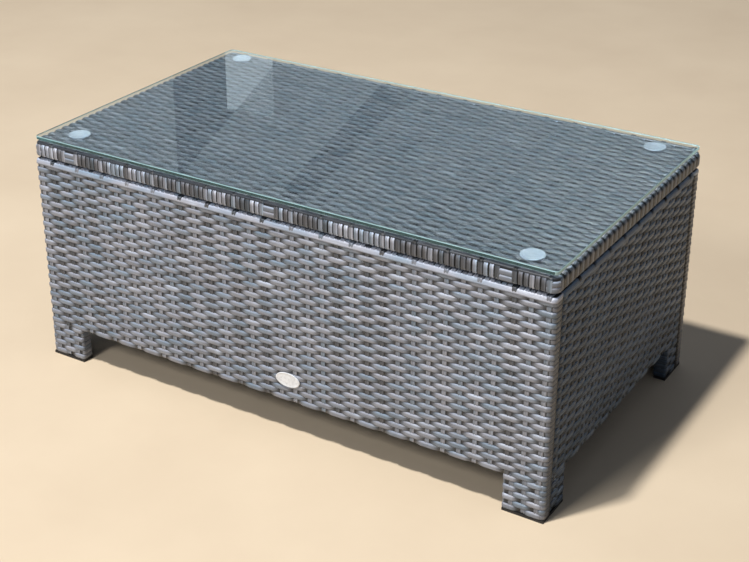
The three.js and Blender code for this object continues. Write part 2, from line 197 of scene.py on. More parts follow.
def strand_quads(n, k, m):
    """The faces of n strands of k rings of m points: the sides, and quads across both ends."""
    ring = np.arange(m)
    after = (ring + 1) % m
    step = np.arange(k - 1)[:, None] * m
    sides = np.stack([step + ring, step + after, step + m + after, step + m + ring], axis=2).reshape(-1, 4)
    low = np.arange(m // 2 - 1)
    cap = np.stack([low, low + 1, m - 2 - low, m - 1 - low], axis=1)
    ends = np.concatenate([cap[:, ::-1], cap + (k - 1) * m])
    one = np.concatenate([sides, ends])
    return (one[None] + (np.arange(n) * k * m)[:, None, None]).reshape(-1, 4)


class Plane:
    """One face of the table: run along it, depth into it, and the third axis across the strands' path."""

    def __init__(self, origin, run, depth, across):
        self.origin, self.run = np.array(origin, float), np.array(run, float)
        self.depth, self.across = np.array(depth, float), np.array(across, float)

    def lay(self, strands, path, place, half_width, height, section=TWO_RIBS, tones=None, shade=1.0):
        """path is (strands, samples, 2) in run and depth; place is where each lies across."""
        step = np.gradient(path, axis=1)
        step /= np.linalg.norm(step, axis=2, keepdims=True)
        normal = np.stack([step[:, :, 1], -step[:, :, 0]], axis=2)
        place = np.broadcast_to(place, path.shape[:2])
        centre = (
            self.origin
            + path[:, :, :1] * self.run
            + path[:, :, 1:] * self.depth
            + place[:, :, None] * self.across
        )
        outward = normal[:, :, :1] * self.run + normal[:, :, 1:] * self.depth
        across = np.broadcast_to(self.across, centre.shape)
        strands.add(centre, outward, across, half_width, height, section, tones, shade)


def lay_round(strands, line, tilt, half_width, height, shade=1.0):
    """One smooth strand along a level line, turned up from facing outwards by the tilt."""
    line = np.array(line, float)
    step = np.gradient(line, axis=0)
    step /= np.linalg.norm(step, axis=1, keepdims=True)
    level = np.stack([step[:, 1], -step[:, 0], np.zeros(len(line))], axis=1)
    upright = np.array([0, 0, 1.0])
    outward = level * math.cos(tilt) + upright * math.sin(tilt)
    across = upright * math.cos(tilt) - level * math.sin(tilt)
    strands.add(line[None], outward[None], across[None], half_width, height, HALF_ROUND, None, shade)


# Paths, in run and depth. Depth is measured inwards from the covering's outer face.


def wave(run, crossings, starts_over, over, under, lean=0.0):
    """The depth of a strand that passes the crossings alternately over and under.

    With a lean it stays over for longer, and dives more sharply under."""
    crossings = np.asarray(crossings)
    number = np.interp(run, crossings, np.arange(len(crossings)))
    pitch = (crossings[-1] - crossings[0]) / (len(crossings) - 1)
    number = number + np.minimum(run - crossings[0], 0) / pitch
    number = number + np.maximum(run - crossings[-1], 0) / pitch
    swing = np.cos(math.pi * number)[None, :] * np.where(starts_over, 1.0, -1.0)[:, None]
    swing = swing * (1.4 - 0.4 * swing**2)
    swing = swing + lean * (1 - swing**2)
    return (over + under) / 2 + swing * (over - under) / 2


def face_path(run, depth):
    run = np.broadcast_to(run, depth.shape)
    return np.stack([run, depth], axis=2)


def turned_end(depth_at_edge, edge, reach, radius, back_run=0.0):
    """From the face round an outside corner, down the side to the reach, and along the back."""
    turn = np.linspace(0.1, 1, 7) * math.pi / 2
    run = np.concatenate([edge - radius * (1 - np.sin(turn)), np.full(3, edge)])
    down = np.linspace(0, 1, 4)[1:]
    first = depth_at_edge[:, None] + radius * (1 - np.cos(turn))[None, :]
    side = first[:, -1:] + (reach - WRAP_RADIUS - first[:, -1:]) * down[None, :]
    depth = np.concatenate([first, side], axis=1)
    if back_run > 0:
        turn = turn[2:]
        back = np.concatenate([WRAP_RADIUS * (1 - np.cos(turn)), [back_run, back_run + 0.8 * MM]])
        run = np.concatenate([run, edge - back])
        tail = np.concatenate([reach - WRAP_RADIUS * (1 - np.sin(turn)), [reach, reach - 3 * MM]])
        depth = np.concatenate([depth, np.broadcast_to(tail, (len(depth), len(tail)))], axis=1)
    run = np.broadcast_to(run, depth.shape)
    return np.stack([run, depth], axis=2)


def wander(n, k, size):
    """Slow sideways drift along each strand."""
    knots = random.normal(0, size, (n, max(4, k // 9)))
    at = np.linspace(0, knots.shape[1] - 1, k)
    return np.array([np.interp(at, np.arange(knots.shape[1]), row) for row in knots])


# Painted shade in the dips beside the stakes, and painted light on the crests.
def painted_crest_light_dip_shade(depth, least, most=1.2, power=1.2):
    """A weft's brightness, from most on its crests to least where it dips under a stake.

    A power under 1 spreads the dark part of each dip.
    """
    dip = np.clip((depth - WEFT_OVER) / (WEFT_UNDER - WEFT_OVER), 0, 1)
    return most - (most - least) * dip**power


def light_and_dark(n):
    """A brightness for each of n strands of two batches, a dark one and a light one, in no order."""
    batch = np.where(random.uniform(0, 1, (n, 1)) < DARK_BATCH_SHARE, DARK_BATCH, LIGHT_BATCH)
    return batch * random.uniform(0.9, 1.1, (n, 1))


def samples_between(first, last, crossings, per_pitch):
    pitch = (crossings[-1] - crossings[0]) / (len(crossings) - 1)
    count = int(round((last - first) / pitch * per_pitch)) + 1
    return np.linspace(first, last, count)


# Panels


class Panel:
    """The woven covering of one side of the table."""

    def __init__(self, side, turn, stakes, leg, leg_stakes, half, wraps_whole_side):
        low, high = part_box(side + "_wicker")
        self.side, self.stakes, self.leg, self.leg_stakes = side, np.array(stakes), leg, leg_stakes
        self.top, self.foot, self.half = high.z, low.z, half
        self.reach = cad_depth(side) - 0.9 * MM if wraps_whole_side else 8 * MM
        self.wraps_whole_side = wraps_whole_side
        # The short sides' strands get painted shade.
        self.shade = 1.0 if wraps_whole_side else SHORT_SIDE_PAINTED_SHADE
        c, s = round(math.cos(turn)), round(math.sin(turn))
        self.u, self.d = (c, s, 0), (-s, c, 0)
        outer = {"front": low.y, "back": -high.y, "right": -high.x, "left": low.x}[side]
        self.origin = np.array(self.d, float) * outer
        self.rows = SKIRT_BOTTOM + (np.arange(SKIRT_ROWS) + 0.5) * (self.top - SKIRT_BOTTOM) / SKIRT_ROWS
        self.leg_rows = self.foot + (np.arange(LEG_ROWS) + 0.5) * (SKIRT_BOTTOM - self.foot) / LEG_ROWS

    def wefts(self):
        strands = Strands()
        plane = Plane(self.origin, self.u, self.d, (0, 0, 1))
        edge = self.half - WEFT_HEIGHT
        woven_rows = self.rows[:-1]
        over = np.arange(len(woven_rows)) % 2 == 0
        self.lay_rows(strands, plane, woven_rows, -edge, edge, self.stakes, over)
        self.lay_edge_strand(strands)
        for sign in (-1, 1):
            crossings = np.sort(sign * np.array(self.leg_stakes))
            inner = self.half - self.leg + WEFT_HEIGHT
            ends = (-edge, -inner) if sign < 0 else (inner, edge)
            over = np.arange(LEG_ROWS) % 2 == 0
            self.lay_rows(strands, plane, self.leg_rows, *ends, crossings, over)
        self.lay_hem(strands)
        return strands

    def lay_rows(self, strands, plane, heights, first, last, crossings, over):
        margins = [CORNER_RADIUS if self.is_outside(at) else LEG_INNER_RADIUS for at in (first, last)]
        run = samples_between(first + margins[0], last - margins[1], crossings, 8)
        depth = wave(run, crossings, over, WEFT_OVER, WEFT_UNDER, WEFT_LEAN)
        depth = depth + wander(len(heights), len(run), 0.06 * MM)
        left = self.end_of_row(depth[:, 0], first, -1)
        right = self.end_of_row(depth[:, -1], last, 1)
        path = np.concatenate([left, face_path(run, depth), right], axis=1)
        place = heights[:, None] + wander(len(heights), path.shape[1], 0.1 * MM)
        # Painted shade where the wefts dip under the stakes, painted light on their crests, painted shade in
        # the seams.
        shade = [self.painted_seam_shade(left, first, depth[:, :1]), painted_crest_light_dip_shade(depth, 0.04, 1.35, 0.7)]
        shade.append(self.painted_seam_shade(right, last, depth[:, -1:]))
        shade = np.concatenate(shade, axis=1) * random.uniform(0.85, 1.15, (len(heights), 1)) * self.shade
        plane.lay(strands, path, place, WEFT_HALF_WIDTH, WEFT_HEIGHT, HALF_ROUND, None, shade)

    def painted_seam_shade(self, end, at, depth):
        """Rows grow dark where they turn into the seam between two panels."""
        if not self.is_outside(at):
            return np.ones(end.shape[:2])
        start = self.reach - 4.5 * MM if self.wraps_whole_side else depth + 0.3 * MM
        # Painted shade: seam darkens the rows in the crease between two panels, beside their ends down the
        # panel's side.
        seam = 1 - 0.95 * np.clip((end[:, :, 1] - start) / (2 * MM), 0, 1)
        beside = 1 - 0.55 * np.clip((end[:, :, 1] - 4 * MM) / (2 * MM), 0, 1)
        return seam * beside

    def is_outside(self, at):
        return abs(abs(at) - (self.half - WEFT_HEIGHT)) < 0.1 * MM

    def end_of_row(self, depth, at, sign):
        """A row ends round the panel's own edge, or round the inner side of a leg."""
        if self.is_outside(at):
            end = turned_end(depth, 0.0, self.reach, CORNER_RADIUS, 4 * MM)
        else:
            end = turned_end(depth, 0.0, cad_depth(self.side) - 1.2 * MM, LEG_INNER_RADIUS, 15 * MM)
        run = end[:, :, 0] + sign * at
        path = np.stack([sign * run, end[:, :, 1]], axis=2)
        return path if sign > 0 else path[:, ::-1]

    def lay_edge_strand(self, strands):
        """The smooth strand along the top edge, which only every other stake passes over."""
        lean = math.radians(20)
        across = np.array([0, 0, 1.0]) * math.cos(lean) + np.array(self.d) * math.sin(lean)
        origin = self.origin + np.array([0, 0, self.rows[-1] - 1.9 * MM])
        plane = Plane(origin, self.u, self.d, across)
        edge = self.half - WEFT_HEIGHT
        run = samples_between(-edge + CORNER_RADIUS, edge - CORNER_RADIUS, self.stakes, 3)
        depth = EDGE_STRAND_DEPTH + wander(1, len(run), 0.05 * MM)
        ends = [self.end_of_row(depth[:, at], sign * edge, sign) for at, sign in ((0, -1), (-1, 1))]
        path = np.concatenate([ends[0], face_path(run, depth), ends[1]], axis=1)
        # The edge strand gets painted light.
        shade = EDGE_PAINTED_LIGHT * self.shade
        plane.lay(strands, path, 0.0, WEFT_HALF_WIDTH, WEFT_HEIGHT, HALF_ROUND, [0.93], shade)

    def lay_hem(self, strands):
        """Two rows that run under the skirt's bottom rail, woven with the stakes that turn under it."""
        plane = Plane((0, 0, SKIRT_BOTTOM), self.u, (0, 0, 1), tuple(-np.array(self.d)))
        inner = self.half - self.leg
        run = samples_between(-inner, inner, self.stakes, 6)
        over = np.array([True, False])
        depth = wave(run, self.stakes, over, 0.9 * MM, 2.2 * MM)
        place = -(self.origin @ np.array(self.d)) - np.array([6.8, 13.6]) * MM
        plane.lay(strands, face_path(run, depth), place[:, None], WEFT_HALF_WIDTH, 0.8 * MM)

    def upright_plane(self):
        return Plane(self.origin, (0, 0, 1), self.d, self.u)

    def uprights(self):
        """The stakes, from behind the bottom rail, under it, up the face and over the top rail."""
        strands = Strands()
        inner = self.half - self.leg
        skirt = self.stakes[np.abs(self.stakes) < inner]
        ends = self.stakes[np.abs(self.stakes) >= inner]
        self.lay_stakes(strands, skirt, SKIRT_BOTTOM, self.rows, self.numbers(skirt), True)
        self.lay_stakes(strands, ends, SKIRT_BOTTOM - 4 * MM, self.rows, self.numbers(ends), False)
        for sign in (-1, 1):
            legs = sign * np.array(self.leg_stakes)
            order = np.argsort(legs)
            self.lay_leg_stakes(strands, legs[order])
        self.lay_fillers(strands)
        return strands

    def numbers(self, places):
        return np.array([int(np.argmin(np.abs(self.stakes - x))) for x in places])

    def lay_stakes(self, strands, places, bottom, rows, numbers, turns_under):
        edge = self.top - STAKE_HEIGHT
        run = samples_between(bottom + STAKE_HEIGHT + WRAP_RADIUS, edge - WRAP_RADIUS, rows, 4)
        over = numbers % 2 == 1
        depth = wave(run, rows, over, STAKE_OVER, STAKE_UNDER)
        near_edge = np.exp(-(((run - rows[-1] + 1.6 * MM) / (3.6 * MM)) ** 2))
        lift = np.where(over, STAKE_OVER - EDGE_STRAND_OVER, 0.0)
        depth = depth - near_edge[None, :] * lift[:, None]
        top = turned_end(depth[:, -1], edge, 16 * MM, WRAP_RADIUS)
        parts = [face_path(run, depth), top]
        if turns_under:
            parts.insert(0, self.under_rail(depth[:, 0], bottom + STAKE_HEIGHT))
        path = np.concatenate(parts, axis=1)
        place = places[:, None] + random.uniform(-0.5, 0.5, (len(places), 1)) * MM
        place = place + wander(len(places), path.shape[1], 0.12 * MM)
        shade = light_and_dark(len(places)) * self.shade
        self.upright_plane().lay(strands, path, place, STAKE_HALF_WIDTH, STAKE_HEIGHT, TWO_RIBS, None, shade)

    def lay_fillers(self, strands):
        """Short strands wound over the top rail between the stakes, from behind the edge strand."""
        pitch = self.stakes[1] - self.stakes[0]
        steps = np.arange(1, FILLERS_PER_PITCH + 1) / (FILLERS_PER_PITCH + 1)
        spots = (self.stakes[:-1, None] + steps[None, :] * pitch).reshape(-1)
        edge = self.top - STAKE_HEIGHT
        depth = np.full(len(spots), STAKE_UNDER)
        run = edge - WRAP_RADIUS - np.array([5.0, 3.0, 1.0]) * MM
        start = face_path(run, np.full((len(spots), 3), STAKE_UNDER))
        path = np.concatenate([start, turned_end(depth, edge, 16 * MM, WRAP_RADIUS)], axis=1)
        place = spots[:, None] + random.uniform(-0.4, 0.4, (len(spots), 1)) * MM
        # The wraps get painted light.
        shade = EDGE_PAINTED_LIGHT * self.shade
        self.upright_plane().lay(strands, path, place, STAKE_HALF_WIDTH, STAKE_HEIGHT, TWO_RIBS, None, shade)

    def under_rail(self, depth, at):
        end = turned_end(depth, 0.0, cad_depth(self.side) - 1.0 * MM, WRAP_RADIUS, 12 * MM)
        path = np.stack([at - end[:, :, 0], end[:, :, 1]], axis=2)
        return path[:, ::-1]

    def lay_leg_stakes(self, strands, places):
        start = self.foot + STAKE_HEIGHT + WRAP_RADIUS
        run = samples_between(start, SKIRT_BOTTOM + 3 * MM, self.leg_rows, 4)
        depth = wave(run, self.leg_rows, np.arange(len(places)) % 2 == 1, STAKE_OVER, STAKE_UNDER)
        end = turned_end(depth[:, 0], 0.0, 7 * MM, WRAP_RADIUS)
        foot = np.stack([self.foot + STAKE_HEIGHT - end[:, :, 0], end[:, :, 1]], axis=2)[:, ::-1]
        path = np.concatenate([foot, face_path(run, depth)], axis=1)
        self.upright_plane().lay(strands, path, places[:, None], STAKE_HALF_WIDTH, STAKE_HEIGHT)


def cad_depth(side):
    """How deep a panel's covering is, from its face to the back of its edge."""
    low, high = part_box(side + "_wicker_edge")
    face_low, face_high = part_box(side + "_wicker")
    if side in ("front", "back"):
        return max(high.y, face_high.y) - min(low.y, face_low.y)
    return max(high.x, face_high.x) - min(low.x, face_low.x)


# Materials


class Nodes:
    """Short names for building a node material."""

    def __init__(self, name):
        self.material = bpy.data.materials.new(name)
        self.material.use_nodes = True
        self.tree = self.material.node_tree
        self.shader = self.tree.nodes["Principled BSDF"]

    def node(self, kind, **settings):
        made = self.tree.nodes.new("ShaderNode" + kind)
        for key, value in settings.items():
            setattr(made, key, value)
        return made

    def link(self, source, target):
        self.tree.links.new(source, target)

    def math(self, operation, a, b=0.0):
        made = self.node("Math", operation=operation)
        for socket, value in zip(made.inputs, (a, b)):
            if isinstance(value, (int, float)):
                socket.default_value = value
            else:
                self.link(value, socket)
        return made.outputs[0]

    def attribute(self, name):
        return self.node("Attribute", attribute_name=name).outputs["Fac"]

    def combine(self, x, y, z):
        made = self.node("CombineXYZ")
        for socket, value in zip(made.inputs, (x, y, z)):
            if isinstance(value, (int, float)):
                socket.default_value = value
            else:
                self.link(value, socket)
        return made.outputs[0]

    def noise(self, vector, scale, detail=2.0, roughness=0.5):
        made = self.node("TexNoise")
        self.link(vector, made.inputs["Vector"])
        made.inputs["Scale"].default_value = scale
        made.inputs["Detail"].default_value = detail
        made.inputs["Roughness"].default_value = roughness
        return made.outputs["Fac"]

    def ramp(self, value, stops):
        made = self.node("ValToRGB")
        elements = made.color_ramp.elements
        while len(elements) < len(stops):
            elements.new(0.5)
        for element, (place, colour) in zip(elements, stops):
            element.position = place
            element.color = (*colour, 1)
        self.link(value, made.inputs[0])
        return made.outputs[0]

    def map_range(self, value, low, high):
        made = self.node("MapRange")
        self.link(value, made.inputs["Value"])
        made.inputs["To Min"].default_value = low
        made.inputs["To Max"].default_value = high
        return made.outputs["Result"]

    def scaled(self, colour, factor):
        made = self.node("VectorMath", operation="SCALE")
        self.link(colour, made.inputs[0])
        self.link(factor, made.inputs["Scale"])
        return made.outputs[0]

    def bump(self, height, distance, strength=1.0, before=None):
        made = self.node("Bump")
        made.inputs["Strength"].default_value = strength
        made.inputs["Distance"].default_value = distance
        self.link(height, made.inputs["Height"])
        if before is not None:
            self.link(before, made.inputs["Normal"])
        return made.outputs["Normal"]

    def place(self):
        return self.node("TexCoord").outputs["Object"]

    def set(self, **values):
        for key, value in values.items():
            self.shader.inputs[key.replace("_", " ")].default_value = value

    def drive(self, name, source):
        self.link(source, self.shader.inputs[name])


def wicker_material(name, tint, painted_highlight_gain=1.0, shine=0.8):
    """Half-round plastic strand: streaks of grey, blue-grey and taupe along it, fine ribs, semi-matte."""
    m = Nodes(name)
    along, side, strand = m.attribute("along"), m.attribute("side"), m.attribute("strand")
    apart = m.math("MULTIPLY", strand, 60.0)
    slow = m.combine(m.math("MULTIPLY", along, 14.0), apart, m.math("MULTIPLY", side, 0.2))
    fine = m.combine(m.math("MULTIPLY", along, 30.0), apart, m.math("MULTIPLY", side, 5.0))
    shade = m.ramp(
        m.noise(slow, 1.0, 2.0),
        [
            (place, tuple(c * t for c, t in zip(colour, tint)))
            for place, colour in (
                (0.30, (0.120, 0.162, 0.215)),
                (0.42, (0.155, 0.188, 0.240)),
                (0.50, (0.185, 0.208, 0.260)),
                (0.58, (0.195, 0.206, 0.244)),
                (0.70, (0.250, 0.280, 0.340)),
            )
        ],
    )
    # Painted shade along each strand's lower edge and a painted highlight along its upper edge.
    low_edge_painted_shade = m.math("MULTIPLY", m.math("SUBTRACT", m.math("MULTIPLY", side, -1.0), 0.4), 1.1)
    high_edge_painted_light = m.math("MULTIPLY", m.math("MAXIMUM", m.math("SUBTRACT", side, 0.4), 0.0), painted_highlight_gain)
    painted_edge_light_shade = m.math("SUBTRACT", m.math("ADD", high_edge_painted_light, 1.0), m.math("MAXIMUM", low_edge_painted_shade, 0.0))
    streak = m.map_range(m.noise(fine, 1.0, 3.0), 0.75, 1.25)
    streak = m.math("MULTIPLY", streak, painted_edge_light_shade)
    # The shade attribute holds each strand's own tone together with painted shade and painted light.
    m.drive("Base Color", m.scaled(shade, m.math("MULTIPLY", streak, m.attribute("shade"))))
    m.drive("Roughness", m.map_range(m.noise(fine, 2.0), 0.2, 0.36))
    m.set(Specular_IOR_Level=shine)
    ribs = m.math("SINE", m.math("MULTIPLY", side, 19.0))
    normal = m.bump(ribs, 0.16 * MM, 0.6)
    m.drive("Normal", m.bump(m.noise(fine, 3.0), 0.1 * MM, 0.4, normal))
    return m.material


def coated_steel():
    m = Nodes("coated_steel")
    grain = m.noise(m.place(), 900.0, 3.0)
    m.drive("Base Color", m.ramp(grain, [(0.3, (0.012, 0.013, 0.015)), (0.7, (0.03, 0.032, 0.036))]))
    m.drive("Roughness", m.map_range(grain, 0.42, 0.62))
    m.drive("Normal", m.bump(grain, 0.05 * MM, 0.5))
    m.set(Metallic=0.0)
    return m.material


def zinc_steel():
    m = Nodes("zinc_steel")
    grain = m.noise(m.place(), 260.0, 4.0, 0.6)
    m.drive("Base Color", m.ramp(grain, [(0.3, (0.42, 0.43, 0.44)), (0.7, (0.62, 0.63, 0.64))]))
    m.drive("Roughness", m.map_range(grain, 0.25, 0.45))
    m.set(Metallic=1.0)
    return m.material


def glide_plastic():
    m = Nodes("glide_plastic")
    grain = m.noise(m.place(), 700.0, 3.0)
    m.drive("Base Color", m.ramp(grain, [(0.3, (0.010, 0.010, 0.011)), (0.7, (0.022, 0.022, 0.024))]))
    m.drive("Roughness", m.map_range(grain, 0.45, 0.7))
    m.drive("Normal", m.bump(grain, 0.04 * MM, 0.4))
    return m.material


def clear_glass():
    """Clear glass that lets the lamps light what is under it."""
    m = Nodes("clear_glass")
    m.set(Base_Color=(0.85, 0.92, 0.92, 1), Roughness=0.0, IOR=1.5, Transmission_Weight=1.0)
    through = m.node("BsdfTransparent")
    through.inputs["Color"].default_value = (0.66, 0.71, 0.72, 1)
    either = m.node("MixShader")
    m.link(m.node("LightPath").outputs["Is Shadow Ray"], either.inputs[0])
    m.link(m.shader.outputs[0], either.inputs[1])
    m.link(through.outputs[0], either.inputs[2])
    m.link(either.outputs[0], m.tree.nodes["Material Output"].inputs["Surface"])
    return m.material


def glass_front_edge_painted_shade():
    """The polished front edge of the pane: deep blue-green, darker than the other edges as painted shade."""
    m = Nodes("glass_front_edge_painted_shade")
    grain = m.noise(m.place(), 420.0, 3.0)
    m.drive("Base Color", m.ramp(grain, [(0.3, (0.12, 0.46, 0.54)), (0.7, (0.15, 0.50, 0.58))]))
    m.drive("Roughness", m.map_range(grain, 0.1, 0.16))
    m.set(IOR=1.5, Transmission_Weight=0.85)
    return m.material


def glass_bevel_painted_light():
    """The ground bevels and the other edges, which catch the light: milky blue-white, as painted light."""
    m = Nodes("glass_bevel_painted_light")
    grain = m.noise(m.place(), 420.0, 3.0)
    m.drive("Base Color", m.ramp(grain, [(0.3, (0.50, 0.80, 0.84)), (0.7, (0.56, 0.86, 0.90))]))
    m.drive("Roughness", m.map_range(grain, 0.2, 0.3))
    m.set(IOR=1.5, Transmission_Weight=0.35)
    return m.material


def pad_vinyl():
    m = Nodes("pad_vinyl")
    cloud = m.noise(m.place(), 120.0, 2.0)
    m.drive("Base Color", m.ramp(cloud, [(0.3, (0.72, 0.80, 0.96)), (0.7, (0.84, 0.90, 1.0))]))
    m.drive("Roughness", m.map_range(cloud, 0.1, 0.28))
    m.set(IOR=1.45, Transmission_Weight=0.6)
    return m.material


def badge_plastic():
    m = Nodes("badge_plastic")
    wear = m.noise(m.place(), 320.0, 4.0, 0.6)
    m.drive("Base Color", m.ramp(wear, [(0.35, (0.72, 0.75, 0.80)), (0.6, (0.88, 0.92, 0.98))]))
    m.drive("Roughness", m.map_range(wear, 0.25, 0.45))
    m.drive("Normal", m.bump(wear, 0.03 * MM, 0.3))
    return m.material


def floor_material():
    m = Nodes("floor_stone")
    cloud = m.noise(m.place(), 3.0, 5.0, 0.6)
    m.drive("Base Color", m.ramp(cloud, [(0.3, (0.78, 0.64, 0.47)), (0.7, (0.84, 0.70, 0.52))]))
    m.drive("Roughness", m.map_range(cloud, 0.55, 0.7))
    return m.material


# Pieces


def add_mesh(name, points, faces, material):
    mesh = bpy.data.meshes.new(name)
    mesh.from_pydata([tuple(p) for p in points], [], faces)
    mesh.update()
    mesh.shade_smooth()
    mesh.set_sharp_from_angle(angle=math.radians(42))
    mesh.materials.append(material)
    piece = bpy.data.objects.new(name, mesh)
    bpy.context.scene.collection.objects.link(piece)
    return piece


def rings(name, outlines, material):
    """A closed skin through outlines of equal length, each a list of points, capped at both ends."""
    m = len(outlines[0])
    points = [p for outline in outlines for p in outline]
    faces = [
        (r * m + i, r * m + (i + 1) % m, (r + 1) * m + (i + 1) % m, (r + 1) * m + i)
        for r in range(len(outlines) - 1)
        for i in range(m)
    ]
    last = (len(outlines) - 1) * m
    faces.append(tuple(reversed(range(m))))
    faces.append(tuple(range(last, last + m)))
    return add_mesh(name, points, faces, material)


def dress_cad_nodes():
    """Better materials on the CAD nodes that stay in view."""
    finishes = {
        "frame": coated_steel(),
        "bolt": zinc_steel(),
        "glide": glide_plastic(),
    }
    finishes["washer"] = finishes["bolt"]
    for name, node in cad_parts.items():
        for word, finish in finishes.items():
            if word in name:
                node.data.materials.clear()
                node.data.materials.append(finish)


def woven(piece, slot_name, *nodes):
    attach(piece, "table")
    if nodes:
        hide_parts(*nodes)


def long_stakes():
    return np.linspace(-STAKE_SPAN_LONG / 2, STAKE_SPAN_LONG / 2, STAKES_LONG)


def build_panels(long_side, short_side):
    short = FIRST_STAKE_SHORT + np.arange(STAKES_SHORT) * STAKE_PITCH_SHORT
    half_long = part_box("front_wicker")[1].x
    half_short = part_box("right_wicker")[1].y
    panels = [
        Panel("front", 0, long_stakes(), LONG_LEG, LEG_STAKES_LONG, half_long, True),
        Panel("back", math.pi, long_stakes(), LONG_LEG, LEG_STAKES_LONG, half_long, True),
        Panel("right", math.pi / 2, short, SHORT_LEG, LEG_STAKES_SHORT, half_short, False),
        Panel("left", -math.pi / 2, short, SHORT_LEG, LEG_STAKES_SHORT, half_short, False),
    ]
    for panel in panels:
        material = long_side if panel.wraps_whole_side else short_side
        name = panel.side + "_wicker"
        wefts = panel.wefts().build(panel.side + "_weft", material)
        woven(wefts, "wicker", name, name + "_edge", name + "_hem")
        woven(panel.uprights().build(panel.side + "_stakes", material), "wicker")


# The top: a sheet of the same weave turned down over the rim


class Top:
    """The woven top. Its strands run along X and Y, and both turn down round the rim's tubes."""

    def __init__(self):
        low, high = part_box("top_wicker")
        self.half_x, self.half_y = high.x, high.y
        self.top = high.z
        self.drop = high.z - (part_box("top_frame")[0].z - 1.9 * MM)
        self.rows = (np.arange(TOP_ROWS) - (TOP_ROWS - 1) / 2) * TOP_ROW_PITCH

    def plane(self, run, across):
        return Plane((0, 0, self.top), run, (0, 0, -1), across)

    def rim_turn(self, depth, edge, height, radius, tuck=12 * MM):
        return turned_end(depth, edge - height, self.drop - height, radius, tuck)

    def both_ends(self, run, depth, edge, height, radius):
        right = self.rim_turn(depth[:, -1], edge, height, radius)
        left = self.rim_turn(depth[:, 0], edge, height, radius)
        left = (left * np.array([-1, 1]))[:, ::-1]
        return np.concatenate([left, face_path(run, depth), right], axis=1)

    def wefts(self):
        strands = Strands()
        rows = self.rows[1:-1]
        edge = self.half_x - WEFT_HEIGHT - RIM_SIDE_RADIUS
        run = samples_between(-edge, edge, long_stakes(), 7)
        over = np.arange(len(rows)) % 2 == 1
        depth = wave(run, long_stakes(), over, WEFT_OVER, WEFT_UNDER, WEFT_LEAN)
        path = self.both_ends(run, depth, self.half_x, WEFT_HEIGHT, RIM_SIDE_RADIUS)
        place = rows[:, None] + wander(len(rows), path.shape[1], 0.12 * MM)
        plane = self.plane((1, 0, 0), (0, 1, 0))
        ends = (path.shape[1] - depth.shape[1]) // 2
        # The top's wefts: painted shade all over, deepest in the dips and lightest on the crests.
        shade = TOP_PAINTED_SHADE * np.pad(painted_crest_light_dip_shade(depth, 0.02, 2.3, 0.5), ((0, 0), (ends, ends)), "edge")
        shade = shade * random.uniform(0.85, 1.15, (len(rows), 1))
        plane.lay(strands, path, place, WEFT_HALF_WIDTH, WEFT_HEIGHT, HALF_ROUND, None, shade)
        self.corner_bands(strands)
        return strands

    def round_corner(self, inset, straight_x, straight_y):
        """A level line round the front right corner, set in from the rim's outer face."""
        radius = RIM_CORNER_RADIUS - inset
        middle_x, middle_y = self.half_x - RIM_CORNER_RADIUS, -self.half_y + RIM_CORNER_RADIUS
        turns = np.linspace(-math.pi / 2, 0, 9)
        arc = [(middle_x + radius * math.cos(t), middle_y + radius * math.sin(t)) for t in turns]
        start = [(x, -self.half_y + inset) for x in straight_x]
        end = [(self.half_x - inset, y) for y in straight_y]
        return start + arc + end

    def lay_at(self, strands, line, height, tilt, signs):
        """The line with its height, mirrored to the chosen corner. It always runs counterclockwise."""
        sx, sy = signs
        points = [(sx * x, sy * y, height) for x, y in line]
        if sx * sy < 0:
            points.reverse()
        lay_round(strands, points, tilt, BAND_HALF_WIDTH, WEFT_HEIGHT)

    def corner_bands(self, strands):
        """Two strands, one above the other, bend round each corner under the wraps beside it."""
        line = self.round_corner(2.6 * MM, [0.385], [-0.213])
        for signs in ((1, 1), (-1, 1), (-1, -1), (1, -1)):
            for height in BAND_HEIGHTS:
                self.lay_at(strands, line, height, 0.0, signs)

    def edge_strands(self, strands):
        """The smooth strands on the rim's two long top edges. Each bends round a corner at both ends."""
        inset = self.half_y - self.rows[-1]
        half = self.round_corner(inset, np.linspace(0, 0.386, 60), [-0.2165])
        whole = [(-x, y) for x, y in reversed(half)] + half[1:]
        for turned in (1, -1):
            points = [(turned * x, turned * y, self.top - 2.0 * MM) for x, y in whole]
            # The rim's edge strands get painted shade.
            lay_round(strands, points, RIM_EDGE_TILT, WEFT_HALF_WIDTH, WEFT_HEIGHT, RIM_EDGE_PAINTED_SHADE)

    def stakes(self):
        strands = Strands()
        places = long_stakes()
        outer = self.rows[-1]
        edge = self.half_y - STAKE_HEIGHT
        over = np.arange(STAKES_LONG) % 2 == 1
        for chosen, radius, lift in ((over, RIM_OVER_RADIUS, 1.15 * MM), (~over, WRAP_RADIUS, 0.0)):
            run = samples_between(-edge + radius, edge - radius, self.rows, 4)
            depth = wave(run, self.rows, over[chosen], STAKE_OVER, STAKE_UNDER)
            depth = depth - lift * np.exp(-(((np.abs(run) - outer) / (4.5 * MM)) ** 2))[None, :]
            path = self.both_ends(run, depth, self.half_y, STAKE_HEIGHT, radius)
            plane = self.plane((0, 1, 0), (1, 0, 0))
            flat = path[:, :, 1] < STAKE_UNDER + 0.3 * MM
            # Painted shade on the stakes where they lie flat on the top; on the rim they keep their own tone.
            shade = light_and_dark(len(path)) * np.where(flat, STAKE_PAINTED_SHADE_ON_TOP * TOP_PAINTED_SHADE, 1.0)
            place = places[chosen][:, None]
            plane.lay(strands, path, place, STAKE_HALF_WIDTH, STAKE_HEIGHT, TWO_RIBS, None, shade)
        self.edge_strands(strands)
        self.fillers(strands, places)
        self.bare_bands(strands)
        return strands

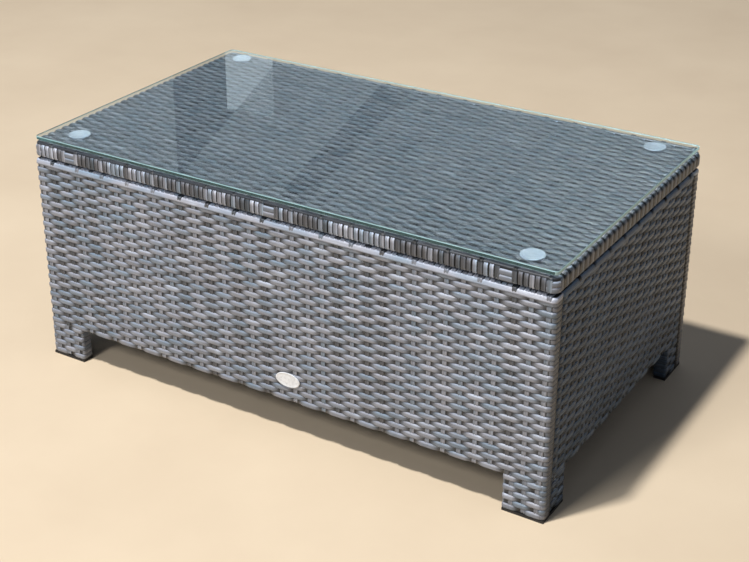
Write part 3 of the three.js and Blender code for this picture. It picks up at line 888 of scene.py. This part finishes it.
    def fillers(self, strands, places):
        """Short strands wound round the long rims between the stakes, from under the edge strand."""
        pitch = places[1] - places[0]
        steps = np.arange(1, FILLERS_PER_PITCH + 1) / (FILLERS_PER_PITCH + 1)
        spots = (places[:-1, None] + steps[None, :] * pitch).reshape(-1)
        spots = np.array([x for x in spots if not any(low < x < high for low, high in BARE_PLACES)])
        plane = self.plane((0, 1, 0), (1, 0, 0))
        for sign in (-1, 1):
            depth = np.full(len(spots), STAKE_UNDER)
            end = self.rim_turn(depth, self.half_y, STAKE_HEIGHT, WRAP_RADIUS)
            run = self.half_y - STAKE_HEIGHT - WRAP_RADIUS - np.array([6.0, 4.0, 2.0, 0.7]) * MM
            start = face_path(run, np.full((len(spots), 4), STAKE_UNDER))
            path = np.concatenate([start, end], axis=1)
            if sign < 0:
                path = (path * np.array([-1, 1]))[:, ::-1]
            place = spots[:, None] + random.uniform(-0.35, 0.35, (len(spots), 1)) * MM
            groups = light_and_dark(len(spots) // FILLER_GROUP + 1)
            shade = np.repeat(groups, FILLER_GROUP, axis=0)[: len(spots)]
            # Painted light on the wraps' upper ends, where they turn over the rim.
            shade = shade * (1 + 0.8 * (path[:, :, 1] < STAKE_UNDER + 2.5 * MM))
            plane.lay(strands, path, place, RIM_WRAP_HALF_WIDTH, STAKE_HEIGHT, TWO_RIBS, None, shade)

    def bare_bands(self, strands):
        """Where a wrap is missing, the strands that run along the rim's tube show."""
        for low, high in BARE_PLACES:
            for turned in (1, -1):
                run = np.linspace(low - 5 * MM, high + 5 * MM, 8)
                y = -self.half_y + 2.6 * MM
                for height in BAND_HEIGHTS:
                    points = [(turned * x, turned * y, height) for x in run]
                    lay_round(strands, points, 0.0, BAND_HALF_WIDTH, WEFT_HEIGHT)


def build_top(material):
    top = Top()
    woven(top.wefts().build("top_weft", material), "wicker", "top_wicker")
    woven(top.stakes().build("top_stakes", material), "wicker")


# Glass pads and badge

PAD_PROFILE = (
    (0.30, 0.0),
    (0.86, 0.0),
    (0.95, 0.16),
    (0.99, 0.45),
    (1.00, 0.74),
    (0.985, 0.93),
    (0.95, 1.00),
    (0.90, 0.97),
    (0.84, 0.88),
    (0.66, 0.80),
    (0.60, 0.84),
    (0.54, 0.78),
    (0.28, 0.70),
    (0.20, 0.74),
)


GLASS_CORNER_RADIUS = 6 * MM
GLASS_BEVEL = 0.7 * MM


def rounded_outline(half_x, half_y, radius, height, steps=8):
    points = []
    for quarter, (sx, sy) in enumerate(((1, 1), (-1, 1), (-1, -1), (1, -1))):
        for step in range(steps + 1):
            t = (quarter + step / steps) * math.pi / 2
            x = sx * (half_x - radius) + radius * math.cos(t)
            y = sy * (half_y - radius) + radius * math.sin(t)
            points.append((x, y, height))
    return points


def build_glass(face, edge, bevel):
    """The pane, with its edges and bevels in materials of their own."""
    low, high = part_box("glass_pane")
    levels = (
        (GLASS_BEVEL, low.z),
        (0.0, low.z + GLASS_BEVEL),
        (0.0, high.z - GLASS_BEVEL),
        (GLASS_BEVEL, high.z),
    )
    outlines = [
        rounded_outline(
            high.x - inset,
            high.y - inset,
            GLASS_CORNER_RADIUS - inset,
            height,
        )
        for inset, height in levels
    ]
    pane = rings("glass_sheet", outlines, face)
    pane.data.materials.append(edge)
    pane.data.materials.append(bevel)
    for polygon in pane.data.polygons:
        if abs(polygon.normal.z) < 0.99:
            # The front edge gets the painted-shade material, the other edges and the bevels the painted-light
            # one.
            polygon.material_index = 1 if polygon.normal.y < -0.95 else 2
    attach(pane, "glass_top")
    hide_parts("glass_pane")


def build_pads(material):
    for node in ("front_left_pad", "front_right_pad", "back_right_pad", "back_left_pad"):
        low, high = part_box(node)
        centre = (low + high) / 2
        radius, height = (high.x - low.x) / 2, high.z - low.z
        turns = [2 * math.pi * i / 64 for i in range(64)]
        outlines = [
            [
                (centre.x + r * radius * math.cos(t), centre.y + r * radius * math.sin(t), low.z + h * height)
                for t in turns
            ]
            for r, h in PAD_PROFILE
        ]
        pad = rings(node + "_soft", outlines, material)
        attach(pad, "glass_top")
        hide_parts(node)


BADGE_PROFILE = (
    (0.90, 1.00),
    (0.985, 0.88),
    (1.00, 0.60),
    (0.99, 0.28),
    (0.955, 0.06),
    (0.92, 0.0),
    (0.885, 0.05),
    (0.85, 0.22),
    (0.80, 0.27),
    (0.40, 0.16),
    (0.05, 0.12),
)


def build_badge(material):
    """A plain white oval with a raised rim, a touch proud of the weave."""
    low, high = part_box("badge")
    centre = (low + high) / 2
    half_x, half_z = (high.x - low.x) / 2, (high.z - low.z) / 2
    thick = 1.5 * MM
    turns = [2 * math.pi * i / 72 for i in range(72)]
    outlines = [
        [
            (centre.x + r * half_x * math.cos(t), low.y + d * thick, centre.z + r * half_z * math.sin(t))
            for t in turns
        ]
        for r, d in BADGE_PROFILE
    ]
    badge = rings("badge_plate", outlines, material)
    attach(badge, "table")
    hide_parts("badge")


# Camera, lights and floor

CAMERA_PLACE = (0.9944, -1.5874, 1.0826)
CAMERA_AZIMUTH = math.radians(31.67)
CAMERA_DOWN = math.radians(24.70)
CAMERA_ROLL = math.radians(0.138)
CAMERA_LENS = 70.53
CAMERA_SHIFT = -0.08
CARD_DISTANCE = 3.0
CARD_TURN = math.radians(-40.7)
LIGHT_TARGET = (0, 0, 0.15)
KEY_POWER = 390
FILL_POWER = 51
WORLD_STRENGTH = 0.14


def build_camera():
    camera = bpy.data.objects.new("camera", bpy.data.cameras.new("camera"))
    camera.data.lens = CAMERA_LENS
    camera.data.sensor_width = 36.0
    camera.data.shift_y = CAMERA_SHIFT
    turn = Matrix.Rotation(CAMERA_AZIMUTH, 4, "Z") @ Matrix.Rotation(math.pi / 2 - CAMERA_DOWN, 4, "X")
    turn = turn @ Matrix.Rotation(CAMERA_ROLL, 4, "Z")
    camera.matrix_world = Matrix.Translation(CAMERA_PLACE) @ turn
    bpy.context.scene.collection.objects.link(camera)
    bpy.context.scene.camera = camera


def area_light(name, place, target, size, power, colour):
    light = bpy.data.lights.new(name, "AREA")
    light.shape = "RECTANGLE"
    light.size, light.size_y = size
    light.energy = power
    light.color = colour
    lamp = bpy.data.objects.new(name, light)
    lamp.location = place
    lamp.rotation_euler = (Vector(target) - Vector(place)).to_track_quat("-Z", "Y").to_euler()
    bpy.context.scene.collection.objects.link(lamp)
    return lamp


def card(name, x, z, size, radiance, turn=CARD_TURN):
    """A faint soft box behind the table, facing it. The glass mirrors it as a pale band."""
    light = bpy.data.lights.new(name, "AREA")
    light.shape = "RECTANGLE"
    light.size, light.size_y = size
    light.energy = radiance * math.pi * size[0] * size[1]
    light.color = (0.86, 0.96, 1.0)
    lamp = bpy.data.objects.new(name, light)
    upright = Matrix.Rotation(turn, 4, "Y") @ Matrix.Rotation(-math.pi / 2, 4, "X")
    lamp.matrix_world = Matrix.Translation((x, CARD_DISTANCE, z)) @ upright
    bpy.context.scene.collection.objects.link(lamp)


def build_light():
    area_light("key", (-0.85, -2.1, 6.5), LIGHT_TARGET, (0.4, 0.4), KEY_POWER, (1.0, 0.97, 0.93))
    area_light("fill", (-0.6, -3.2, 2.7), LIGHT_TARGET, (0.9, 0.9), FILL_POWER, (1.0, 1.0, 1.0))
    card("wide_card", -0.97, 2.595, (2.5, 3.6), 0.085)
    card("narrow_card", -2.18, 1.637, (0.376, 3.0), 0.15)
    card("small_card", -2.44, 1.61, (0.24, 0.26), 0.6, 0.0)
    card("left_card", -3.32, 1.9, (0.95, 1.5), 0.2, 0.0)
    world = bpy.data.worlds.new("studio")
    world.use_nodes = True
    world.node_tree.nodes["Background"].inputs["Color"].default_value = (0.76, 0.84, 1.0, 1)
    world.node_tree.nodes["Background"].inputs["Strength"].default_value = WORLD_STRENGTH
    bpy.context.scene.world = world


def build_floor():
    side = 9.0
    steps = 12
    at = [(-0.5 + i / steps) * side for i in range(steps + 1)]
    points = [(x, y, 0.0) for y in at for x in at]
    w = steps + 1
    faces = [
        (j * w + i, j * w + i + 1, (j + 1) * w + i + 1, (j + 1) * w + i)
        for j in range(steps)
        for i in range(steps)
    ]
    floor = add_mesh("floor", points, faces, floor_material())


dress_cad_nodes()
wicker = wicker_material("wicker_strand", (1, 1, 1))
# The short sides' material carries a painted blue shade and stronger painted edge light.
build_panels(wicker, wicker_material("wicker_strand_painted_shade", PAINTED_SHADE_TINT, 1.5, 0.3))
# The top's material has a stronger painted highlight on its strands' edges.
build_top(wicker_material("wicker_strand_top", (1, 1, 1), 3.0, 0.6))
build_glass(clear_glass(), glass_front_edge_painted_shade(), glass_bevel_painted_light())
build_pads(pad_vinyl())
build_badge(badge_plastic())
build_camera()
build_light()
build_floor()
bpy.context.scene.view_settings.view_transform = "Standard"
